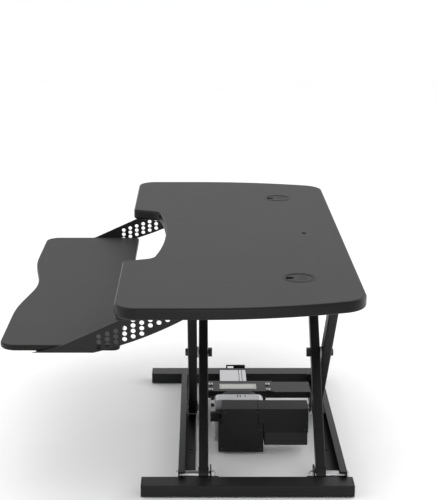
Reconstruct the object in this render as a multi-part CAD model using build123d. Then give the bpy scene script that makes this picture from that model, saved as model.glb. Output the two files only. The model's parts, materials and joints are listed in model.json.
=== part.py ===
from build123d import *
import math
import os

# Standing desk converter, millimetres. +X is the user's right, -Y faces the user, +Z is up.
# The origin is on the floor, under the middle of the overall box.

# ---------------------------------------------------------------- driving dimensions
DESK_W, DESK_FRONT, DESK_REAR = 1219.0, -131.5, 376.0
DESK_TOP, DESK_T = 509.6, 25.0
DESK_UNDER = DESK_TOP - DESK_T
DESK_BOW_R, DESK_BOW_START = 960.0, 38.0
SCOOP_MOUTH, SCOOP_BACK, SCOOP_SIDE_Y, SCOOP_MID_Y = 253.0, 228.0, -66.0, -43.0
DESK_REAR_R, DESK_FRONT_R, SCOOP_MOUTH_R, SCOOP_SIDE_R = 62.0, 45.0, 16.0, 32.0
DESK_EDGE_R, TRAY_EDGE_R = 5.0, 4.0
GROMMET_X, GROMMET_Y, GROMMET_R = 391.0, 248.0, 30.0
FLANGE_R, FLANGE_T = 36.5, 1.6      # the grommets' flanges are let into the board, flush
LINER_BORE_R, LINER_THROAT_R, CAP_R, CAP_T = 28.4, 26.0, 28.1, 3.7
ARM_HOLE_Y, ARM_HOLE_R = 288.0, 6.0

TRAY_W, TRAY_FRONT, TRAY_REAR = 920.0, -381.0, -128.0
TRAY_TOP, TRAY_T, TRAY_SCOOP_W, TRAY_SCOOP = 383.6, 13.0, 245.0, 27.0
TRAY_UNDER = TRAY_TOP - TRAY_T
TRAY_FRONT_R, TRAY_REAR_R = 36.0, 14.0
SCREW_R, COVER_WALL = 2.0, 2.5      # screw shanks and their holes; moulded covers' walls

RAIL_X, RAIL_W, RAIL_Y0, RAIL_Y1 = 358.0, 50.0, -92.0, 381.0
RAIL_Z0, RAIL_Z1, RAIL_WALL = 3.0, 30.0, 2.0
RAIL_IN = RAIL_X - RAIL_W / 2

YC = 179.7                      # middle plane of the scissor lift
LEG_IN0, LEG_IN1 = 121.7, 143.3     # inner leg, distances from the middle plane
LEG_OUT0, LEG_OUT1 = 147.4, 169.2   # outer leg
LEG_H, LEG_WALL = 30.0, 2.0
LEG_L, LEG_ANGLE = 605.9, 47.07
PIVOT_X, PIVOT_Z = 307.0, 22.0
AXLE_R, RUN = 6.0, 0.05         # axle radius and radial running clearance

CHAN_OUT, CHAN_T, CHAN_H = 189.5, 2.5, 38.0
CHAN_WIDE, CHAN_NARROW = 38.5, 15.0
ROLLER_R, ROLLER_D0, ROLLER_D1 = 16.2, 172.5, 186.0

TUBE_Y, TUBE_Z = 128.0, 29.0    # axis of the spindle drive
OUTER_W, OUTER_H, INNER_W, INNER_H, TUBE_WALL = 39.0, 19.5, 35.0, 16.0, 3.0     # half widths and heights
SPINDLE_R = 7.95
COVER_Y0, COVER_Y1, COVER_Z0 = 83.0, 190.0, 8.0     # motor cover
COVER_STEP_Y0, COVER_STEP_Y1, STEP_Z = 92.0, 177.0, 80.0
CONTROL_Y0, CONTROL_Y1, CONTROL_Z0, CONTROL_SPLIT = 191.0, 296.0, 26.0, 59.0
GEAR_MODULE, GEAR_TEETH, PINION_TEETH = 1.0, 30, 15
GEAR_X0, GEAR_X1 = 76.0, 84.0
BEAM_X0, BEAM_X1, BEAM_Z0, BEAM_Z1 = -178.0, -104.0, 48.5, 65.0
PLATE_X0, PLATE_X1 = 87.0, 90.0     # drive plate between the gears and the two boxes
BOX_X1, BOX_TOP = 147.0, 117.0

reach = LEG_L * math.cos(math.radians(LEG_ANGLE))
rise = LEG_L * math.sin(math.radians(LEG_ANGLE))
P1 = (PIVOT_X, PIVOT_Z)                     # lower fixed pivot, inner legs
P2 = (PIVOT_X - reach, PIVOT_Z + rise)      # upper roller axle, inner legs
Q1 = (PIVOT_X - reach, PIVOT_Z)             # lower roller axle, outer legs
Q2 = (PIVOT_X, PIVOT_Z + rise)              # upper fixed pivot, outer legs
MID = ((P1[0] + P2[0]) / 2, (P1[1] + P2[1]) / 2)
SIDES = {"front": -1, "rear": 1}
HANDS = {"left": -1, "right": 1}


# ---------------------------------------------------------------- helpers
def block(x0, x1, y0, y1, z0, z1):
    size = (abs(x1 - x0), abs(y1 - y0), abs(z1 - z0))
    return Pos((x0 + x1) / 2, (y0 + y1) / 2, (z0 + z1) / 2) * Box(*size)


def span(side, d0, d1):
    """Two Y values at distances d0 and d1 from the middle plane, on one side."""
    return sorted((YC + side * d0, YC + side * d1))


def rod_y(point, r, y0, y1):
    return Pos(point[0], (y0 + y1) / 2, point[1]) * Rot(90, 0, 0) * Cylinder(r, abs(y1 - y0))


def rod_x(y, z, r, x0, x1):
    return Pos((x0 + x1) / 2, y, z) * Rot(0, 90, 0) * Cylinder(r, abs(x1 - x0))


def rod_z(x, y, r, z0, z1):
    return Pos(x, y, (z0 + z1) / 2) * Cylinder(r, abs(z1 - z0))


def rod_d(point, r, side, d0, d1):
    y0, y1 = span(side, d0, d1)
    return rod_y(point, r, y0, y1)


def hexagon_d(point, across, side, d0, d1):
    y0, y1 = span(side, d0, d1)
    prism = extrude(RegularPolygon(across / 2, 6, major_radius=False), (y1 - y0) / 2, both=True)
    return Pos(point[0], (y0 + y1) / 2, point[1]) * Rot(90, 0, 0) * prism


def group(pieces):
    solids = []
    for piece in pieces:
        solids.extend(piece.solids())
    return solids[0] if len(solids) == 1 else Compound(solids)


def screw_up(x, y, z, depth):
    """Pan-head screw driven upwards, head's flat at z."""
    return rod_z(x, y, 4.5, z - 2.6, z) + rod_z(x, y, SCREW_R, z, z + depth)


def soft_edges(solid, z0, z1, radius):
    """Round the outer edges of a flat board at its two faces."""
    rims = solid.edges().filter_by_position(Axis.Z, z1 - 0.01, z1 + 0.01)
    rims += solid.edges().filter_by_position(Axis.Z, z0 - 0.01, z0 + 0.01)
    return fillet(rims, radius)


# ---------------------------------------------------------------- screw places
CHANNEL_SCREWS = [(x, side, 158.0) for side in SIDES.values() for x in (-250.0, 0.0, 190.0)]
PIVOT_SCREWS = [(x, side, 131.0) for side in SIDES.values() for x in (292.0, 322.0)]
BRACKET_SCREWS = [(hand * 448.0, y) for hand in HANDS.values() for y in (-10.0, 60.0)]
TRAY_SCREWS = [(hand * 450.0, y) for hand in HANDS.values() for y in (-285.0, -205.0)]
DESK_SCREW_DEPTH, TRAY_SCREW_DEPTH, SHEET = 14.0, 9.0, 2.5


# ---------------------------------------------------------------- platform
def corners_at(sketch, y, x_min, x_max):
    """The outline's corners on the line y, x_min to x_max to either side of the middle."""
    return [v for v in sketch.vertices() if abs(v.Y - y) < 1 and x_min <= abs(v.X) <= x_max]


def desk_outline():
    half = DESK_W / 2
    depth = DESK_REAR - DESK_BOW_START
    bow = DESK_BOW_R - math.sqrt(DESK_BOW_R ** 2 - depth ** 2)
    half_depth = depth / 2
    bow_mid = DESK_BOW_R - math.sqrt(DESK_BOW_R ** 2 - half_depth ** 2)
    with BuildSketch() as sketch:
        with BuildLine():
            Line((SCOOP_MOUTH, DESK_FRONT), (half, DESK_FRONT))
            Line((half, DESK_FRONT), (half, DESK_BOW_START))
            ThreePointArc((half, DESK_BOW_START), (half - bow_mid, DESK_BOW_START + half_depth),
                          (half - bow, DESK_REAR))
            Line((half - bow, DESK_REAR), (bow - half, DESK_REAR))
            ThreePointArc((bow - half, DESK_REAR), (bow_mid - half, DESK_BOW_START + half_depth),
                          (-half, DESK_BOW_START))
            Line((-half, DESK_BOW_START), (-half, DESK_FRONT))
            Line((-half, DESK_FRONT), (-SCOOP_MOUTH, DESK_FRONT))
            Line((-SCOOP_MOUTH, DESK_FRONT), (-SCOOP_BACK, SCOOP_SIDE_Y))
            ThreePointArc((-SCOOP_BACK, SCOOP_SIDE_Y), (0, SCOOP_MID_Y), (SCOOP_BACK, SCOOP_SIDE_Y))
            Line((SCOOP_BACK, SCOOP_SIDE_Y), (SCOOP_MOUTH, DESK_FRONT))
        make_face()
        fillet(corners_at(sketch, DESK_REAR, 0, half), DESK_REAR_R)
        fillet(corners_at(sketch, DESK_FRONT, half - 1, half + 1), DESK_FRONT_R)
        fillet(corners_at(sketch, DESK_FRONT, 0, SCOOP_MOUTH + 1), SCOOP_MOUTH_R)
        fillet(corners_at(sketch, SCOOP_SIDE_Y, 0, SCOOP_BACK + 1), SCOOP_SIDE_R)
    return sketch.sketch


def desktop():
    board = Pos(0, 0, DESK_UNDER) * extrude(desk_outline(), DESK_T)
    board = soft_edges(board, DESK_UNDER, DESK_TOP, DESK_EDGE_R)
    for hand in HANDS.values():
        board -= rod_z(hand * GROMMET_X, GROMMET_Y, GROMMET_R, DESK_UNDER - 1, DESK_TOP + 1)
        board -= rod_z(hand * GROMMET_X, GROMMET_Y, FLANGE_R, DESK_TOP - FLANGE_T, DESK_TOP + 1)
    board -= rod_z(0, ARM_HOLE_Y, ARM_HOLE_R, DESK_UNDER - 1, DESK_TOP + 1)
    for x, side, d in CHANNEL_SCREWS + PIVOT_SCREWS:
        board -= rod_z(x, YC + side * d, SCREW_R, DESK_UNDER - 1, DESK_UNDER + DESK_SCREW_DEPTH - SHEET)
    for x, y in BRACKET_SCREWS:
        board -= rod_z(x, y, SCREW_R, DESK_UNDER - 1, DESK_UNDER + DESK_SCREW_DEPTH - SHEET)
    return board


def platform_screws():
    under_desk = [(x, YC + side * d) for x, side, d in CHANNEL_SCREWS + PIVOT_SCREWS] + BRACKET_SCREWS
    screws = [screw_up(x, y, DESK_UNDER - SHEET, DESK_SCREW_DEPTH) for x, y in under_desk]
    screws += [screw_up(x, y, TRAY_UNDER - SHEET, TRAY_SCREW_DEPTH) for x, y in TRAY_SCREWS]
    return group(screws)


def keyboard_tray():
    half = TRAY_W / 2
    with BuildSketch() as sketch:
        with BuildLine():
            Line((half, TRAY_REAR), (-half, TRAY_REAR))
            Line((-half, TRAY_REAR), (-half, TRAY_FRONT))
            Line((-half, TRAY_FRONT), (-TRAY_SCOOP_W, TRAY_FRONT))
            Spline((-TRAY_SCOOP_W, TRAY_FRONT), (0, TRAY_FRONT + TRAY_SCOOP), (TRAY_SCOOP_W, TRAY_FRONT),
                   tangents=((1, 0), (1, 0)))
            Line((TRAY_SCOOP_W, TRAY_FRONT), (half, TRAY_FRONT))
            Line((half, TRAY_FRONT), (half, TRAY_REAR))
        make_face()
        fillet(corners_at(sketch, TRAY_FRONT, half - 1, half + 1), TRAY_FRONT_R)
        fillet(corners_at(sketch, TRAY_REAR, half - 1, half + 1), TRAY_REAR_R)
    tray = Pos(0, 0, TRAY_UNDER) * extrude(sketch.sketch, TRAY_T)
    tray = soft_edges(tray, TRAY_UNDER, TRAY_TOP, TRAY_EDGE_R)
    for x, y in TRAY_SCREWS:
        tray -= rod_z(x, y, SCREW_R, TRAY_UNDER - 1, TRAY_UNDER + TRAY_SCREW_DEPTH - SHEET)
    return tray


# side bracket outline, as (Y, Z)
BR_TIP, BR_TRAY_END = (-310.0, TRAY_UNDER - SHEET), (-183.0, TRAY_UNDER - SHEET)
BR_TRAY_TOP = (-248.0, TRAY_TOP)
BR_DESK_FRONT, BR_DESK_REAR, BR_ARC_MID = (-28.0, DESK_UNDER), (78.0, DESK_UNDER), (-41.0, 417.0)
HOLE_R, HOLE_PITCH_Y, HOLE_PITCH_Z, HOLE_Y0, HOLE_Z0 = 5.0, 17.9, 11.9, -171.0, 368.0


def arc_centre(a, b, c):
    """Centre and radius of the circle through three points."""
    ax, ay, bx, by, cx, cy = *a, *b, *c
    d = 2 * (ax * (by - cy) + bx * (cy - ay) + cx * (ay - by))
    ux = ((ax * ax + ay * ay) * (by - cy) + (bx * bx + by * by) * (cy - ay)
          + (cx * cx + cy * cy) * (ay - by)) / d
    uy = ((ax * ax + ay * ay) * (cx - bx) + (bx * bx + by * by) * (ax - cx)
          + (cx * cx + cy * cy) * (bx - ax)) / d
    return ux, uy, math.hypot(ax - ux, ay - uy)


def bracket_holes():
    """Staggered grid, kept where the sheet leaves an edge around the hole."""
    cy, cz, radius = arc_centre(BR_TRAY_END, BR_ARC_MID, BR_DESK_REAR)
    dy, dz = BR_DESK_FRONT[0] - BR_TRAY_TOP[0], BR_DESK_FRONT[1] - BR_TRAY_TOP[1]
    length = math.hypot(dy, dz)
    places = []
    for column in range(13):
        for row in range(10):
            y = HOLE_Y0 + HOLE_PITCH_Y * column
            z = HOLE_Z0 + HOLE_PITCH_Z * (row + 0.5 * (column % 2))
            under_line = (dy * (BR_TRAY_TOP[1] - z) - dz * (BR_TRAY_TOP[0] - y)) / length
            inside_arc = radius - math.hypot(y - cy, z - cz)
            if under_line > 10 and inside_arc > 8.5 and z < DESK_UNDER - 12:
                places.append((y, z))
    return places


def tray_bracket(hand):
    x0 = TRAY_W / 2 + 1
    x_in, x_out = hand * x0, hand * (x0 + SHEET)
    with BuildSketch(Plane.YZ) as sketch:
        with BuildLine():
            Line(BR_TIP, BR_TRAY_TOP)
            Line(BR_TRAY_TOP, BR_DESK_FRONT)
            Line(BR_DESK_FRONT, BR_DESK_REAR)
            ThreePointArc(BR_DESK_REAR, BR_ARC_MID, BR_TRAY_END)
            Line(BR_TRAY_END, BR_TIP)
        make_face()
    plate = Pos(min(x_in, x_out), 0, 0) * extrude(sketch.sketch, SHEET)
    lower = block(x_in, x_in - hand * 23, BR_TIP[0] + 8, BR_TRAY_END[0], TRAY_UNDER - SHEET, TRAY_UNDER)
    upper = block(x_in, x_in - hand * 25, BR_DESK_FRONT[0], BR_DESK_REAR[0], DESK_UNDER - SHEET, DESK_UNDER)
    bracket = plate + lower + upper
    for y, z in bracket_holes():
        bracket -= rod_x(y, z, HOLE_R, x_in - 1 * hand, x_out + 1 * hand)
    for x, y in TRAY_SCREWS:
        bracket -= rod_z(x, y, SCREW_R, TRAY_UNDER - SHEET - 1, TRAY_UNDER + 1)
    for x, y in BRACKET_SCREWS:
        bracket -= rod_z(x, y, SCREW_R, DESK_UNDER - SHEET - 1, DESK_UNDER + 1)
    return bracket


def upper_channel(side):
    z1 = DESK_UNDER
    z0 = z1 - CHAN_H
    half = RAIL_IN + 1
    web = block(-half, half, *span(side, CHAN_OUT - CHAN_T, CHAN_OUT), z0, z1)
    wide = block(-half, half, *span(side, CHAN_OUT - CHAN_WIDE, CHAN_OUT), z1 - CHAN_T, z1)
    narrow = block(-half, half, *span(side, CHAN_OUT - CHAN_NARROW, CHAN_OUT), z0, z0 + CHAN_T)
    channel = web + wide + narrow
    for x, screw_side, d in CHANNEL_SCREWS:
        channel -= rod_z(x, YC + screw_side * d, SCREW_R, z1 - 5, z1 + 1)
    return channel


def upper_pivot_brackets():
    ears = []
    for side in SIDES.values():
        ear = block(285, 329, *span(side, 141, 144), 444, DESK_UNDER)
        ear += block(285, 329, *span(side, 121, 144), DESK_UNDER - SHEET, DESK_UNDER)
        ear -= rod_d(Q2, AXLE_R + RUN, side, 139, 146)
        for x, screw_side, d in PIVOT_SCREWS:
            ear -= rod_z(x, YC + screw_side * d, SCREW_R, DESK_UNDER - 5, DESK_UNDER + 1)
        ears.append(ear)
    return group(ears)


def grommet_liner(hand):
    x = hand * GROMMET_X
    flange = rod_z(x, GROMMET_Y, FLANGE_R, DESK_TOP - FLANGE_T, DESK_TOP)
    sleeve = rod_z(x, GROMMET_Y, GROMMET_R, DESK_UNDER + 2, DESK_TOP)
    bore = rod_z(x, GROMMET_Y, LINER_BORE_R, DESK_TOP - 4, DESK_TOP + 3)
    throat = rod_z(x, GROMMET_Y, LINER_THROAT_R, DESK_UNDER - 1, DESK_TOP + 3)
    return flange + sleeve - bore - throat


def grommet_cap(hand):
    x = hand * GROMMET_X
    cap = rod_z(x, GROMMET_Y, CAP_R, DESK_TOP - 0.3 - CAP_T, DESK_TOP - 0.3)
    cap = fillet(cap.edges().group_by(Axis.Z)[-1], 0.8)
    notch = rod_z(x, GROMMET_Y - 18, 7.5, DESK_TOP - 6, DESK_TOP + 3)
    notch += block(x - 7.5, x + 7.5, GROMMET_Y - 40, GROMMET_Y - 18, DESK_TOP - 6, DESK_TOP + 3)
    return cap - notch


SWITCH_X0, SWITCH_X1, SWITCH_Y0, SWITCH_Y1, SWITCH_Z0 = 478.0, 542.0, -129.0, -86.0, 462.0
BUTTON_X, BUTTON_Z, BUTTON_R, BUTTON_OUT = {"up": 496.0, "down": 524.0}, 473.0, 6.5, 2.2


def hand_switch_housing():
    shell = block(SWITCH_X0, SWITCH_X1, SWITCH_Y0, SWITCH_Y1, SWITCH_Z0, DESK_UNDER)
    shell = fillet(shell.edges().filter_by(Axis.Y).group_by(Axis.Z)[0], 5)
    shell -= block(SWITCH_X0 + COVER_WALL, SWITCH_X1 - COVER_WALL, SWITCH_Y0 + COVER_WALL,
                   SWITCH_Y1 - COVER_WALL, SWITCH_Z0 + COVER_WALL, DESK_UNDER + 1)
    for x in BUTTON_X.values():
        shell -= rod_y((x, BUTTON_Z), BUTTON_R + 0.3, SWITCH_Y0 - 1, SWITCH_Y0 + 3)
    return shell


def switch_button(x):
    button = rod_y((x, BUTTON_Z), BUTTON_R, SWITCH_Y0 - BUTTON_OUT, SWITCH_Y0 + 7)
    return fillet(button.edges().group_by(Axis.Y)[0], 0.8)


# ---------------------------------------------------------------- base
def base_rail(hand):
    x = hand * RAIL_X
    rail = block(x - RAIL_W / 2, x + RAIL_W / 2, RAIL_Y0 + 3, RAIL_Y1 - 3, RAIL_Z0, RAIL_Z1)
    rail = fillet(rail.edges().filter_by(Axis.Y), 2.0)
    inner = RAIL_W / 2 - RAIL_WALL
    return rail - block(x - inner, x + inner, RAIL_Y0, RAIL_Y1, RAIL_Z0 + RAIL_WALL, RAIL_Z1 - RAIL_WALL)


def rail_end_caps():
    caps = []
    inner = RAIL_W / 2 - RAIL_WALL
    for hand in HANDS.values():
        x = hand * RAIL_X
        for y, inward in ((RAIL_Y0, 1), (RAIL_Y1, -1)):
            face = block(x - RAIL_W / 2, x + RAIL_W / 2, y, y + 3 * inward, RAIL_Z0, RAIL_Z1)
            face = fillet(face.edges().filter_by(Axis.Y), 2.0)
            plug = block(x - inner, x + inner, y + 3 * inward, y + 15 * inward,
                         RAIL_Z0 + RAIL_WALL, RAIL_Z1 - RAIL_WALL)
            caps.append(face + plug)
    return group(caps)


def rubber_feet():
    feet = []
    for hand in HANDS.values():
        for y in (RAIL_Y0 + 35, (RAIL_Y0 + RAIL_Y1) / 2, RAIL_Y1 - 35):
            feet.append(rod_z(hand * RAIL_X, y, 15, 0, RAIL_Z0))
    return group(feet)


def base_channel(side):
    z0, z1 = RAIL_Z0, RAIL_Z0 + CHAN_H
    web = block(-RAIL_IN, RAIL_IN, *span(side, CHAN_OUT - CHAN_T, CHAN_OUT), z0, z1)
    wide = block(-RAIL_IN, RAIL_IN, *span(side, CHAN_OUT - CHAN_WIDE, CHAN_OUT), z0, z0 + CHAN_T)
    narrow = block(-RAIL_IN, RAIL_IN, *span(side, CHAN_OUT - CHAN_NARROW, CHAN_OUT), z1 - CHAN_T, z1)
    channel = web + wide + narrow - rod_d(P1, AXLE_R, side, CHAN_OUT - 5, CHAN_OUT + 1)
    for x in (-265, -129, 129, 265):
        channel -= rod_z(x, YC + side * 162.0, 4.0, z0 - 1, z0 + 5)
    return channel


def base_brackets():
    """Plates that hold the channels to the rails, and ears for the lower pivots."""
    plates = []
    for side in SIDES.values():
        ear = block(288, RAIL_IN, *span(side, 115, 118), 5, 44)
        ear = fillet(ear.edges().filter_by(Axis.Y).group_by(Axis.X)[0], 12)
        ear += block(RAIL_IN - 3, RAIL_IN, *span(side, 99, 118), 5, RAIL_Z1)
        plates.append(ear - rod_d(P1, AXLE_R, side, 112, 120))
    for side in SIDES.values():
        for hand in HANDS.values():
            plates.append(block(hand * RAIL_IN, hand * (RAIL_IN - 3), *span(side, 152, CHAN_OUT - CHAN_T),
                                RAIL_Z0 + CHAN_T, RAIL_Z1))
    return group(plates)


def base_screws():
    x = -RAIL_IN - 12
    screws = [Pos(x, TUBE_Y + dy, RAIL_Z1 + 8.5) * extrude(RegularPolygon(6.5, 6), 2.5, both=True)
              for dy in (-15, 15)]
    for side in SIDES.values():
        for hand in HANDS.values():
            for d in (160.0, 178.0):
                screws.append(rod_x(YC + side * d, 17.0, 4.0, hand * (RAIL_IN - 5.5), hand * (RAIL_IN - 3)))
        screws.append(rod_x(YC + side * 107.0, 12.0, 4.0, RAIL_IN - 5.5, RAIL_IN - 3))
        screws.append(rod_x(YC + side * 107.0, 24.0, 4.0, RAIL_IN - 5.5, RAIL_IN - 3))
    return group(screws)


def lower_pivot_bolts():
    """Bolts, nuts and spacer rings of the lower fixed pivots."""
    pieces = []
    for side in SIDES.values():
        shank = rod_d(P1, AXLE_R, side, 106, CHAN_OUT)
        pieces.append(shank + hexagon_d(P1, 18, side, CHAN_OUT, CHAN_OUT + 5.5))
        pieces.append(hexagon_d(P1, 18, side, 108, 115) - rod_d(P1, AXLE_R, side, 100, 120))
        outer = rod_d(P1, 10, side, LEG_IN1 + 0.6, CHAN_OUT - CHAN_T)
        pieces.append(outer - rod_d(P1, AXLE_R, side, 140, 190))
        pieces.append(rod_d(P1, 10, side, 118, LEG_IN0 - 0.5) - rod_d(P1, AXLE_R, side, 115, 125))
    return group(pieces)


def actuator_anchor():
    face = block(-RAIL_IN, -RAIL_IN + 7, TUBE_Y - 37, TUBE_Y + 37, 8, 46)
    tongue = block(-RAIL_IN - 27, -RAIL_IN, TUBE_Y - 26, TUBE_Y + 26, RAIL_Z1, RAIL_Z1 + 6)
    stirrup = block(-RAIL_IN - 27, -RAIL_IN - 23, TUBE_Y - 17, TUBE_Y + 35, RAIL_Z1, RAIL_Z1 + 17)
    stirrup -= block(-RAIL_IN - 30, -RAIL_IN - 20, TUBE_Y - 13, TUBE_Y + 3, RAIL_Z1 + 7, RAIL_Z1 + 14)
    return face + tongue + stirrup


def grooves(x0, x1, top):
    return [block(x0, x1, TUBE_Y + dy - 0.8, TUBE_Y + dy + 0.8, top - 1.2, top + 1) for dy in (16, 24)]


def actuator_inner_tube():
    x0, x1 = -RAIL_IN + 7, -122.0
    tube = block(x0, x1, TUBE_Y - INNER_W, TUBE_Y + INNER_W, TUBE_Z - INNER_H, TUBE_Z + INNER_H)
    wide, high = INNER_W - TUBE_WALL, INNER_H - TUBE_WALL
    tube -= block(x0 - 1, x1 + 1, TUBE_Y - wide, TUBE_Y + wide, TUBE_Z - high, TUBE_Z + high)
    for groove in grooves(x0, x1, TUBE_Z + INNER_H):
        tube -= groove
    return tube


def spindle_nut():
    wide, high = INNER_W - TUBE_WALL, INNER_H - TUBE_WALL
    nut = block(-140, -122, TUBE_Y - wide, TUBE_Y + wide, TUBE_Z - high, TUBE_Z + high)
    return nut - rod_x(TUBE_Y, TUBE_Z, SPINDLE_R + RUN, -150, -110)


# ---------------------------------------------------------------- legs
def leg_frame(start, end):
    angle = math.degrees(math.atan2(end[1] - start[1], end[0] - start[0]))
    return Pos(start[0], 0, start[1]) * Rot(0, -angle, 0)


KNUCKLE = 14.0      # where the tube ends and the solid knuckle begins, from the pivot


def leg_tube(start, end, y0, y1, bore):
    tube = block(KNUCKLE, LEG_L - KNUCKLE, y0, y1, -LEG_H / 2, LEG_H / 2)
    tube = fillet(tube.edges().filter_by(Axis.X), 2.5)
    tube -= block(0, LEG_L, y0 + LEG_WALL, y1 - LEG_WALL, LEG_WALL - LEG_H / 2, LEG_H / 2 - LEG_WALL)
    tube += rod_y((LEG_L / 2, 0), 12, y0 + 0.5, y1 - 0.5)
    tube -= rod_y((LEG_L / 2, 0), bore, y0 - 1, y1 + 1)
    return leg_frame(start, end) * tube


def knuckle(start, end, y0, y1, bore):
    """Rounded solid end; start is the pivot that it turns on."""
    body = block(0, KNUCKLE, y0, y1, -LEG_H / 2, LEG_H / 2) + rod_y((0, 0), LEG_H / 2, y0, y1)
    body -= rod_y((0, 0), bore, y0 - 1, y1 + 1)
    return leg_frame(start, end) * body


def inner_leg(side):
    y0, y1 = span(side, LEG_IN0, LEG_IN1)
    tube = leg_tube(P1, P2, y0, y1, AXLE_R + RUN)
    return group([tube, knuckle(P1, P2, y0, y1, AXLE_R + RUN), knuckle(P2, P1, y0, y1, AXLE_R)])


def outer_leg(side):
    y0, y1 = span(side, LEG_OUT0, LEG_OUT1)
    tube = leg_tube(Q1, Q2, y0, y1, AXLE_R) - rod_d((179, 328), 3.0, side, LEG_OUT1 - 4, LEG_OUT1 + 2)
    return group([tube, knuckle(Q1, Q2, y0, y1, AXLE_R), knuckle(Q2, Q1, y0, y1, AXLE_R)])


TIE_AT = 0.8        # fraction of the inner leg, from the lower pivot


def inner_tie_bar():
    point = (P1[0] + TIE_AT * (P2[0] - P1[0]), P1[1] + TIE_AT * (P2[1] - P1[1]))
    bar = rod_y(point, 9, YC - LEG_IN0, YC + LEG_IN0)
    return bar - rod_y(point, 7, YC - LEG_IN0 - 1, YC + LEG_IN0 + 1)


def upper_roller_shaft():
    return rod_y(P2, AXLE_R, YC - ROLLER_D1, YC + ROLLER_D1)


def upper_pivot_shaft():
    return rod_y(Q2, AXLE_R, YC - 186.3, YC + 186.3)


def outer_leg_spacers():
    """Rings beside the outer legs at the upper pivot, the roller axle and the centre."""
    rings = []
    for side in SIDES.values():
        rings.append(rod_d(Q2, 10, side, LEG_OUT1, 186.3) - rod_d(Q2, AXLE_R, side, 160, 190))
        rings.append(rod_d(Q2, 10, side, 144.4, LEG_OUT0) - rod_d(Q2, AXLE_R, side, 140, 150))
        rings.append(rod_d(Q1, 9, side, 143.4, LEG_OUT0) - rod_d(Q1, AXLE_R, side, 140, 150))
        rings.append(rod_d(MID, 13, side, 143.7, LEG_OUT0) - rod_d(MID, AXLE_R, side, 140, 150))
    return group(rings)


def lower_axles():
    bolts = []
    for side in SIDES.values():
        shank = rod_d(Q1, AXLE_R, side, 136, ROLLER_D1)
        bolts.append(shank + hexagon_d(Q1, 16, side, 132, 138.5))
    return group(bolts)


def centre_bolts():
    bolts = []
    for side in SIDES.values():
        bolts.append(rod_d(MID, AXLE_R, side, 112, LEG_OUT1) + rod_d(MID, 9, side, LEG_OUT1, 175.5))
    return group(bolts)


def centre_nuts():
    nuts = []
    for side in SIDES.values():
        nuts.append(hexagon_d(MID, 19, side, 112, 121.2) - rod_d(MID, AXLE_R, side, 100, 130))
    return group(nuts)


def roller(point, side):
    wheel = rod_d(point, ROLLER_R, side, ROLLER_D0, ROLLER_D1)
    wheel = fillet(wheel.edges(), 1.0)
    return wheel - rod_d(point, AXLE_R + RUN, side, ROLLER_D0 - 2, ROLLER_D1 + 2)


# ---------------------------------------------------------------- sliding carriage
def carriage_beam():
    half = 140.0
    beam = block(BEAM_X0, BEAM_X1, YC - half, YC + half, BEAM_Z0, BEAM_Z1)
    return beam - block(BEAM_X0 + SHEET, BEAM_X1 - SHEET, YC - half - 1, YC + half + 1,
                        BEAM_Z0 - 1, BEAM_Z1 - SHEET)


def carriage_cheeks():
    cheeks = []
    for side in SIDES.values():
        y0, y1 = span(side, 140, 143)
        with BuildSketch(Plane.XZ) as sketch:
            Polygon((BEAM_X0, BEAM_Z1), (BEAM_X0, BEAM_Z0), (Q1[0] - 14, Q1[1]), (Q1[0] + 14, Q1[1]),
                    (Q1[0] + 14, BEAM_Z0), (BEAM_X1, BEAM_Z1), align=None)
            with Locations(Q1):
                Circle(14)
                Circle(AXLE_R + RUN, mode=Mode.SUBTRACT)
        cheek = extrude(sketch.sketch, (y1 - y0) / 2, both=True)
        cheeks.append(Pos(0, (y0 + y1) / 2, 0) * cheek)
    return group(cheeks)


SADDLE_Y0, SADDLE_Y1, SADDLE_T = 58.0, 228.0, 3.0
SADDLE_SCREWS = [(x, y) for x in (-148.0, -110.0) for y in (67.0, 214.0)]
SADDLE_SCREW_R, SADDLE_SCREW_H = 6.0, 4.0


def saddle_plate():
    plate = block(BEAM_X0 + 2, BEAM_X1 + 2, SADDLE_Y0, SADDLE_Y1, BEAM_Z1, BEAM_Z1 + SADDLE_T)
    return fillet(plate.edges().filter_by(Axis.Z), 4)


def saddle_screws():
    top = BEAM_Z1 + SADDLE_T
    heads = [rod_z(x, y, SADDLE_SCREW_R, top, top + SADDLE_SCREW_H) for x, y in SADDLE_SCREWS]
    return group([fillet(head.edges().group_by(Axis.Z)[-1], 1.5) for head in heads])


def blank_label():
    top = BEAM_Z1 + SADDLE_T
    return block(-153, -117, 90, 184, top, top + 0.5)


def actuator_outer_tube():
    """Sliding tube, with the bearing's seat in its front end."""
    x0, x1 = -139.0, 72.0
    tube = block(x0, x1, TUBE_Y - OUTER_W, TUBE_Y + OUTER_W, TUBE_Z - OUTER_H, TUBE_Z + OUTER_H)
    tube = fillet(tube.edges().filter_by(Axis.X), 2.0)
    wide, high = OUTER_W - TUBE_WALL, OUTER_H - TUBE_WALL
    tube -= block(x0 - 1, x1 + 1, TUBE_Y - wide, TUBE_Y + wide, TUBE_Z - high, TUBE_Z + high)
    for groove in grooves(x0, x1, TUBE_Z + OUTER_H):
        tube -= groove
    tube += block(66, 72, TUBE_Y - wide, TUBE_Y + wide, TUBE_Z - high, TUBE_Z + high)
    return tube - rod_x(TUBE_Y, TUBE_Z, 14, 60, 80)


def spindle_bearing():
    return rod_x(TUBE_Y, TUBE_Z, 14, 66, 72) - rod_x(TUBE_Y, TUBE_Z, SPINDLE_R + RUN, 60, 80)


HOUSING_Y0, HOUSING_Y1, HOUSING_Z0, HOUSING_Z1 = 74.0, 192.0, 9.5, 118.0
HOOD_X0, HOOD_WALL, HOUSING_CORNER_R = 52.0, 3.0, 12.0
HOOD_CAP_X0, HOOD_CAP_Y0, HOOD_CAP_Y1, HOOD_CAP_R = 28.0, 84.0, 186.0, 30.0


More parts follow.
